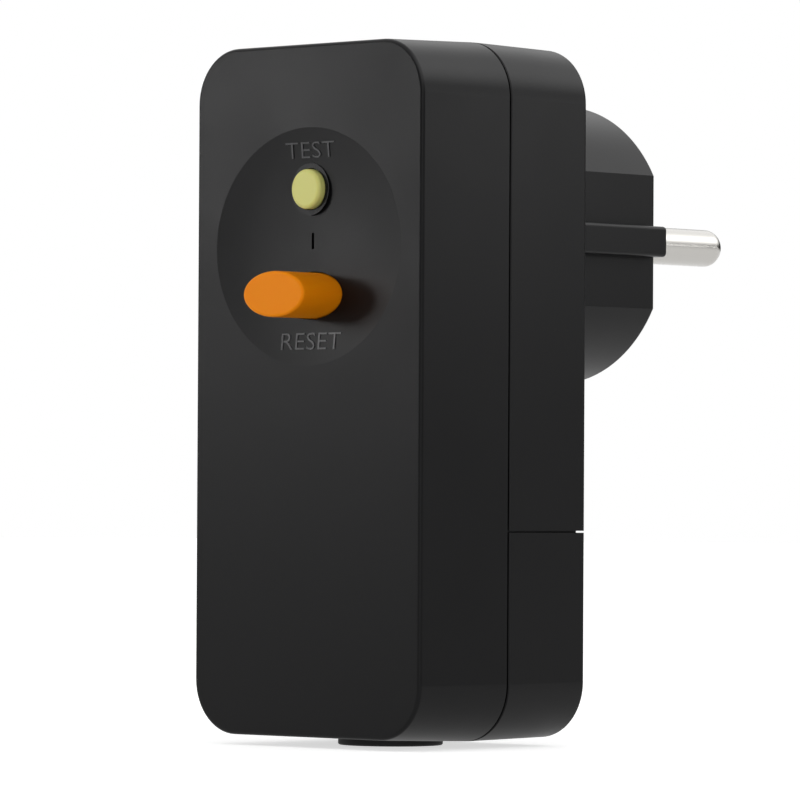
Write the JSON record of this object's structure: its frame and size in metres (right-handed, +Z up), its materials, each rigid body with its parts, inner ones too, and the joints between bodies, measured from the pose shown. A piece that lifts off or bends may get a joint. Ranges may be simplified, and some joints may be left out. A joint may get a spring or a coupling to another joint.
{
  "type": "plug-in residual current device",
  "caption": "Slim upright plug-in residual current device: a two-part box on a round mains plug, with test and reset buttons in a dish and a wiring cover.",
  "frame": {"origin": "middle of the plug's engagement face, midway between the two pins", "axes": "+Y along the pins into the wall socket, +Z up the long side of the box, +X to the right seen from the front"},
  "size_m": [0.0398, 0.0727, 0.0877],
  "materials": {
    "housing": "fine satin moulded black",
    "bush_rubber": "moulded black rubber",
    "screw_steel": "zinc plated",
    "nickel": "nickel plated brass",
    "brass": "bright rolled brass",
    "inner_moulding": "grey thermoset moulding",
    "board_laminate": "green lacquered laminate",
    "chip_epoxy": "black epoxy",
    "resistor_lacquer": "tan lacquer",
    "capacitor_case": "red film capacitor case",
    "varistor_coating": "blue epoxy dip",
    "led_lens": "tinted red lens",
    "smoke_acrylic": "smoked clear acrylic",
    "core_case": "grey potted ring core",
    "copper": "enamelled copper",
    "wire_cover": "brown wire covering",
    "zinc_steel": "zinc plated mild steel",
    "bronze": "rolled phosphor bronze",
    "spring_steel": "drawn spring wire",
    "reset_orange": "satin orange moulding",
    "test_green": "satin pale yellow green moulding"
  },
  "bodies": {
    "casing": {"front_shell": "housing", "rear_shell": "housing", "cable_bush": "bush_rubber", "case_screws": "screw_steel", "clamp_screws": "screw_steel", "terminal_screws": "screw_steel", "line_pin": "nickel", "neutral_pin": "nickel", "earth_clips": "nickel", "earth_socket": "nickel", "earth_strap": "brass", "line_bar": "brass", "neutral_bar": "brass", "line_terminal": "brass", "neutral_terminal": "brass", "earth_terminal": "brass", "terminal_block": "inner_moulding", "cord_clamp": "inner_moulding", "mechanism_frame": "inner_moulding", "solenoid_bobbin": "inner_moulding", "circuit_board": "board_laminate", "control_chip": "chip_epoxy", "resistors": "resistor_lacquer", "capacitor": "capacitor_case", "varistor": "varistor_coating", "indicator_led": "led_lens", "light_guide": "smoke_acrylic", "transformer_core": "core_case", "transformer_winding": "copper", "primary_wires": "wire_cover", "solenoid_coil": "copper", "solenoid_yoke": "zinc_steel", "pole_piece": "zinc_steel", "latch_pin": "zinc_steel", "fixed_contacts": "brass", "test_leaf": "bronze", "reset_spring": "spring_steel", "test_spring": "spring_steel", "trip_spring": "spring_steel", "plunger_spring": "spring_steel"},
    "test_button": {"test_button": "test_green"},
    "reset_button": {"reset_button": "reset_orange"},
    "contact_slider": {"contact_carrier": "inner_moulding", "moving_contacts": "copper"},
    "plunger": {"plunger": "zinc_steel"},
    "latch": {"latch_lever": "zinc_steel"},
    "wiring_cover": {"wiring_cover": "housing", "cover_screws": "screw_steel"}
  },
  "joints": [
    {"name": "test_press", "type": "slide", "parent": "casing", "child": "test_button", "axis": [0, 1, 0], "range_m": [0, 0.0012], "stiffness_N_per_m": 500, "deforming": ["test_spring"]},
    {"name": "reset_press", "type": "slide", "parent": "casing", "child": "reset_button", "axis": [0, 1, 0], "range_m": [0, 0.004], "stiffness_N_per_m": 400, "deforming": ["reset_spring"]},
    {"name": "contact_travel", "type": "slide", "parent": "casing", "child": "contact_slider", "axis": [0, 1, 0], "range_m": [0, 0.0024], "deforming": ["trip_spring"]},
    {"name": "plunger_pull", "type": "slide", "parent": "casing", "child": "plunger", "axis": [1, 0, 0], "range_m": [0, 0.0015], "stiffness_N_per_m": 300, "deforming": ["plunger_spring"]},
    {"name": "latch_swing", "type": "hinge", "parent": "casing", "child": "latch", "pos_m": [-0.0129, -0.0301, -0.0164], "axis": [0, -1, 0], "range_deg": [0, 11.5]},
    {"name": "cover_lift", "type": "slide", "parent": "casing", "child": "wiring_cover", "axis": [0, 1, 0], "range_m": [0, 0.025]}
  ],
  "couplings": [
    {"joint": "contact_travel", "follows": "reset_press", "ratio": 0.6},
    {"joint": "latch_swing", "follows": "plunger_pull", "rad_per_m": 133.33}
  ]
}
